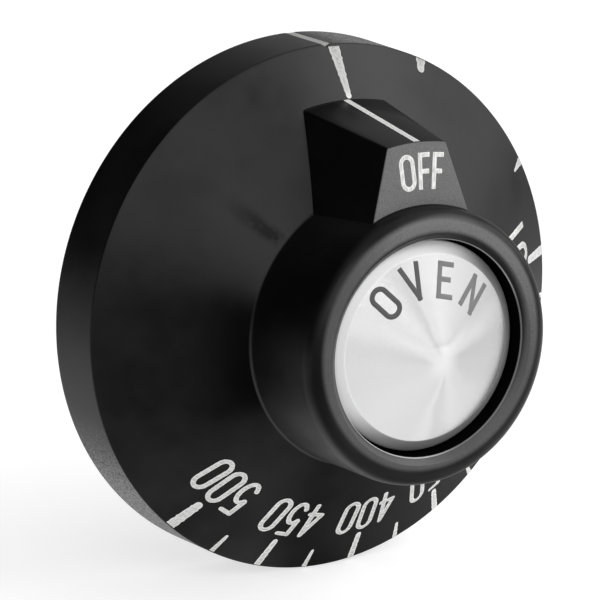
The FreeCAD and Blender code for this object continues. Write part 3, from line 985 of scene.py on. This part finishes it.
# %% [markdown]
# ## Bright aluminium
#
# The disc was pressed from bright sheet. The press left it a shallow cone that isn't quite even, so it
# mirrors the studio in soft fans that spread from the peak. They could be pressed into the mesh, but
# ripples so shallow are easier to steer as colour: a radial gradient about the peak runs through a colour
# ramp of a few near-white greys, and a little noise keeps the fans from looking ruled.

# %% Draw the fans of the pressed cone
# In mm: where the peak is, right and up, how wide the press's ripples are and how far they bend a fan
PEAK = (0.9, -1.5)
DRIFT, DRIFT_REACH = 5.0, 2.2
# Clockwise angles from the top, each with the grey of its fan
FANS = [
    (0, "e4e4e4"), (30, "dcdcdc"), (52, "d2d2d2"), (76, "bebebe"), (104, "c4c4c4"), (132, "d0d0d0"),
    (160, "d6d6d6"), (179, "cccccc"), (187, "d8d8d8"), (200, "d2d2d2"), (232, "d4d4d4"), (269.9, "d0d0d0"),
    (270.1, "d0d0d0"), (286, "cacaca"), (304, "d8d8d8"), (322, "d6d6d6"), (334, "cccccc"), (342, "dadada"),
]


def ramp_place(fan):
    """Where a fan's clockwise angle falls on the gradient, which runs the other way from the left."""
    return (0.75 - fan[0] / 360) % 1


aluminium, tree = new_material("bright_pressed_aluminium")
place, radius, depth, height, right = measures()
drift = add("TexNoise", place, 1 / DRIFT, 2.0).outputs["Color"]
wander = add("VectorMath", drift, (0.5, 0.5, 0.5), operation="SUBTRACT")
wander = add("VectorMath", wander, DRIFT_REACH, operation="SCALE")
from_peak = add("VectorMath", place, (PEAK[0], 0, PEAK[1]), operation="SUBTRACT")
bent = add("SeparateXYZ", add("VectorMath", from_peak, wander, operation="ADD")).outputs
flat = add("CombineXYZ", bent["X"], bent["Z"])
fans = add("ValToRGB", add("TexGradient", flat, gradient_type="RADIAL").outputs["Fac"])
stops = fans.color_ramp.elements
while len(stops) < len(FANS):
    stops.new(0.5)
for stop, fan in zip(stops, sorted(FANS, key=ramp_place)):
    stop.position = ramp_place(fan)
    stop.color = colour(fan[1])
fans.color_ramp.interpolation = "EASE"
from_tip = add("VectorMath", flat, operation="LENGTH")
pressed = coat("e0e0e0", (region((from_tip, 0.3, 2.5)), fans))
print(len(FANS), "fans about a peak at", PEAK, "mm")

# %% [markdown]
# The flange round the cone is made dull, so it hardly mirrors, and its colour holds painted light and shade
# instead: pale at the left and towards its outer edge, greyer at the bottom and darkest at the lower right.
# The cone keeps the fine grain of rolled sheet, of about 0.1 mm, which is drawn as a noise of 0.3 mm so that
# it shows.

# %% Finish the aluminium
ROLLED = 0.3
on_flange = region((radius, FLANGE_START - 0.14, FLANGE_START - 0.06))
low_right = add("Math", height, -0.5, right, operation="MULTIPLY_ADD")
low_right = region((low_right, -4, 5))
bottom = region((height, -5.5, -10.5))
not_top = region((height, 9, -4))
outward = region((radius, FLANGE_START - 0.1, DISC_RADIUS))
# Painted light and shade on the flange: paler at the left and outwards, greyer at the bottom and lower right
flange_painted_light = coat(
    coat("d4d4d4", (not_top, "ececec")), (outward, coat("fafafa", (not_top, "ffffff"))),
    (bottom, "a0a0a0"), (low_right, "7c7c7c"))
flange_metal = add("MapRange", low_right, 0.0, 1.0, 0.05, 0.2, **SMOOTH)
metal = add("MapRange", on_flange, 0.0, 1.0, 1.0, flange_metal, **SMOOTH)
rolled = add("TexNoise", place, 1 / ROLLED, 3.0, 0.55)
brushed = add("MapRange", rolled, 0.3, 0.7, 0.2, 0.27, **SMOOTH)
dress(disc, aluminium, {
    "Base Color": coat(pressed, (on_flange, flange_painted_light)), "Metallic": metal,
    "Roughness": add("Math", on_flange, 0.25, brushed, operation="MULTIPLY_ADD")})

# %% [markdown]
# ## White paint
#
# The paint was wiped into the marks, so the cloth left streaks in it along the dial, most in the middle of
# a stroke, and took some of it off the rim. Paint dries matte, so the streaks show as a duller grey. The
# ticks at the top of the dial are greyest. The paint also holds painted light and shade: it is darker
# towards the top, where the lamps fall strongest, and paler except at the far left. The streaks are noise in
# coordinates that follow the dial round and run slowly along the radius, with grains of 0.16 mm, as wide as
# a cloth's thread.

# %% Make the white paint
# Sizes in mm: the streaks that the cloth left, and the lumps of the dry paint
STREAK, PAINT_GRAIN = 0.16, 0.3
white_paint, tree = new_material("wiped_white_paint")
place, radius, depth, height, right = measures()
middle = add("Attribute", attribute_name="middle").outputs["Fac"]
around = add("Math", right, height, operation="ARCTAN2")
along_dial = add("Math", around, radius, operation="MULTIPLY")
slow_radius = add("Math", radius, 0.12, operation="MULTIPLY")
streaks = add("TexNoise", add("CombineXYZ", along_dial, slow_radius, depth), 1 / STREAK, 3.0, 0.6)
thin = region((streaks, 0.38, 0.62), (middle, 0.3, 0.9))
rim_wiped = region((depth, RIM_WIDTH, RIM_WIDTH - 0.2, 0.0, 0.7))
worn = either(thin, rim_wiped)
top_ticks = region((height, -10, 24), (radius, 25.6, 27))
# Painted light and shade: the paint is darker towards the top and paler except at the far left
rightward = region((right, -20, -8))
upward = region((height, -16, 10))
full_paint_with_painted_light = coat("e0e0de", (rightward, "f4f4f2"), (upward, "dadad8"), (top_ticks, "b4b4b2"))
thin_paint = coat("b0b0ae", (top_ticks, "868684"))
paint_grain = add("TexNoise", place, 1 / PAINT_GRAIN, 3.0, 0.55)
dress(white_marks, white_paint, {
    "Base Color": coat(full_paint_with_painted_light, (worn, thin_paint)), "Roughness": 0.6,
    "Normal": add("Bump", named={"Strength": 0.4, "Distance": 0.05 * MM, "Height": paint_grain})})

# %% [markdown]
# ## Printing ink
#
# The word on the disc is printed in a matte grey ink. It is mottled in patches of about half a millimetre,
# where the pad pressed less, and paler towards the right.

# %% Make the ink
MOTTLE = 0.5
grey_ink, tree = new_material("grey_printing_ink")
place, *unused, right = measures()
mottle = add("TexNoise", place, 1 / MOTTLE, 3.0, 0.55)
ink_full = coat("303030", (mottle, "444444"))
ink_paler = coat("5c5c5c", (mottle, "747474"))
rightward = region((right, -2, 1.5))
dress(disc_word, grey_ink, {"Base Color": coat(ink_full, (rightward, ink_paler)), "Roughness": 0.5})

# %% [markdown]
# ## Spring steel
#
# The leaf spring is the CAD node itself, because its shape is right, and it only gets a finish. It is a
# strip of rolled steel, so fine lines run along its length. Noise that is stretched along the strip gives
# both their colour and their sheen. Real lines are finer, and are drawn 0.12 mm wide so that they show.

# %% Make the spring steel
ROLL_LINE = 0.12
spring_steel, tree = new_material("rolled_spring_steel")
place = measures()[0]
stretched = add("VectorMath", place, (1, 0.04, 1), operation="MULTIPLY")
lines = add("TexNoise", stretched, 1 / ROLL_LINE, 3.0, 0.55)
dress(bpy.data.objects["shaft_spring"], spring_steel, {
    "Base Color": coat("909092", (lines, "c0c0c2")), "Metallic": 1.0,
    "Roughness": add("MapRange", lines, 0.3, 0.7, 0.28, 0.42, **SMOOTH)})

# %% [markdown]
# ## The studio floor
#
# The knob stands on its rim on a wide sheet of white paper, so the floor touches the skirt at its lowest
# point. A curved backdrop isn't needed, because the surround is as white as the paper.

# %% Lay the floor
pick()
bpy.ops.mesh.primitive_plane_add(size=6.0, location=(0, 0, -SKIRT_RADIUS * MM))
floor = bpy.context.object
floor.name = "studio_floor"
bpy.ops.object.transform_apply()
print("The floor lies", SKIRT_RADIUS, "mm below the knob's axis")

# %% [markdown]
# To the camera the paper glows just enough to be white, by Light Path, and it still darkens where the knob
# keeps the lamps off it, so a soft shadow shows. In reflections alone it is dimmer in four places: towards
# the camera, behind the knob on both sides and right under it. In a real studio black plastic mirrors the
# dark room there. The fibres of the paper are about 0.4 mm apart and hardly show.

# %% Make the paper
TO_CAMERA, ACROSS_CAMERA = (-0.6, -0.8, 0), (0.8, -0.6, 0)
TO_LEFT_BACK, TO_RIGHT_BACK = (-0.6, 0.8, 0), (0.8, 0.6, 0)
PAPER_GRAIN = 0.4


def seen_directly():
    """1 for what the camera, a reflection or a clear piece shows, 0 for the light that falls on surfaces."""
    rays = add("LightPath").outputs
    return either(rays["Is Camera Ray"], rays["Is Glossy Ray"], rays["Is Transmission Ray"])


paper, tree = new_material("white_studio_paper")
place, *unused, right = measures()
ahead, aside, left_back, right_back = [
    add("VectorMath", place, way, operation="DOT_PRODUCT")
    for way in (TO_CAMERA, ACROSS_CAMERA, TO_LEFT_BACK, TO_RIGHT_BACK)]
swing = add("Math", add("Math", aside, ahead, operation="ARCTAN2"), operation="ABSOLUTE")
away = add("VectorMath", place, operation="LENGTH")
shaded = either(
    region((ahead, 30, 52), (swing, 0.6, 0.3)), region((left_back, 60, 180, 0.0, 0.7)),
    region((right_back, 80, 200, 0.0, 0.7)), region((right, -12, 0), (away, 60, 40)))
shaded = region(shaded, add("LightPath").outputs["Is Glossy Ray"])
kept_light = add("MapRange", shaded, 0.0, 1.0, 1.0, 0.0, **SMOOTH)
glow = add("MapRange", seen_directly(), 0.0, 1.0, 0.45, 0.62, **SMOOTH)
fibres = add("TexNoise", place, 1 / PAPER_GRAIN, 3.0, 0.55)
dress(floor, paper, {
    "Base Color": coat("bcbcbc", (fibres, "c0c0c0")), "Roughness": 0.9, "Specular IOR Level": 0.0,
    "Emission Color": "ffffff",
    "Emission Strength": add("Math", glow, kept_light, operation="MULTIPLY")})

# %% [markdown]
# ## Lamps and surround
#
# Three softboxes light the knob: a wide one in front, a brighter one above at the right and a small one at
# the right. Each is given the brightness of its face, so that its power follows from its size.

# %% Hang the lamps
def lamp(name, place, size, radiance):
    """A soft lamp of a width and height in metres that faces the knob, with the brightness of its face."""
    pick()
    bpy.ops.object.light_add(type="AREA", location=place)
    light = bpy.context.object
    light.name = name
    light.data.shape = "RECTANGLE"
    light.data.size, light.data.size_y = size
    light.data.energy = radiance * math.pi * size[0] * size[1]
    light.rotation_mode = "QUATERNION"
    light.rotation_quaternion = (-Vector(place)).to_track_quat("-Z", "Y")
    print(name, "gives", round(light.data.energy, 2), "W")


lamp("front_softbox", (-0.28, -0.92, 0.56), (1.1, 0.75), 2.0)
lamp("top_softbox", (0.70, -0.59, 0.77), (1.0, 0.6), 4.8)
lamp("right_softbox", (1.14, -0.16, 0.33), (0.5, 0.5), 1.8)

# %% [markdown]
# The surround is white where it is seen and weaker as a light, and like the paper it is dimmer in
# reflections towards the back. The Standard view then shows each colour about as it is written.

# %% Close the surround
world = bpy.data.worlds.new("studio_surround")
bpy.context.scene.world = world
world.use_nodes = True
tree = world.node_tree
tree.nodes.clear()
aim = add("TexCoord").outputs["Generated"]
left_back, right_back = [
    add("VectorMath", aim, way, operation="DOT_PRODUCT") for way in (TO_LEFT_BACK, TO_RIGHT_BACK)]
dim = either(region((left_back, -0.05, 0.7, 0.0, 0.97)), region((right_back, 0.6, 0.85, 0.0, 0.5)))
dim = region(dim, add("LightPath").outputs["Is Glossy Ray"])
white = add("MapRange", seen_directly(), 0.0, 1.0, 0.42, 1.0, **SMOOTH)
strength = add("Math", white, dim, operation="SUBTRACT")
add("OutputWorld", add("Background", "ffffff", strength))
bpy.context.scene.view_settings.view_transform = "Standard"
print(world.name, "has", len(tree.nodes), "nodes")

# %% Finish
bpy.context.view_layer.update()
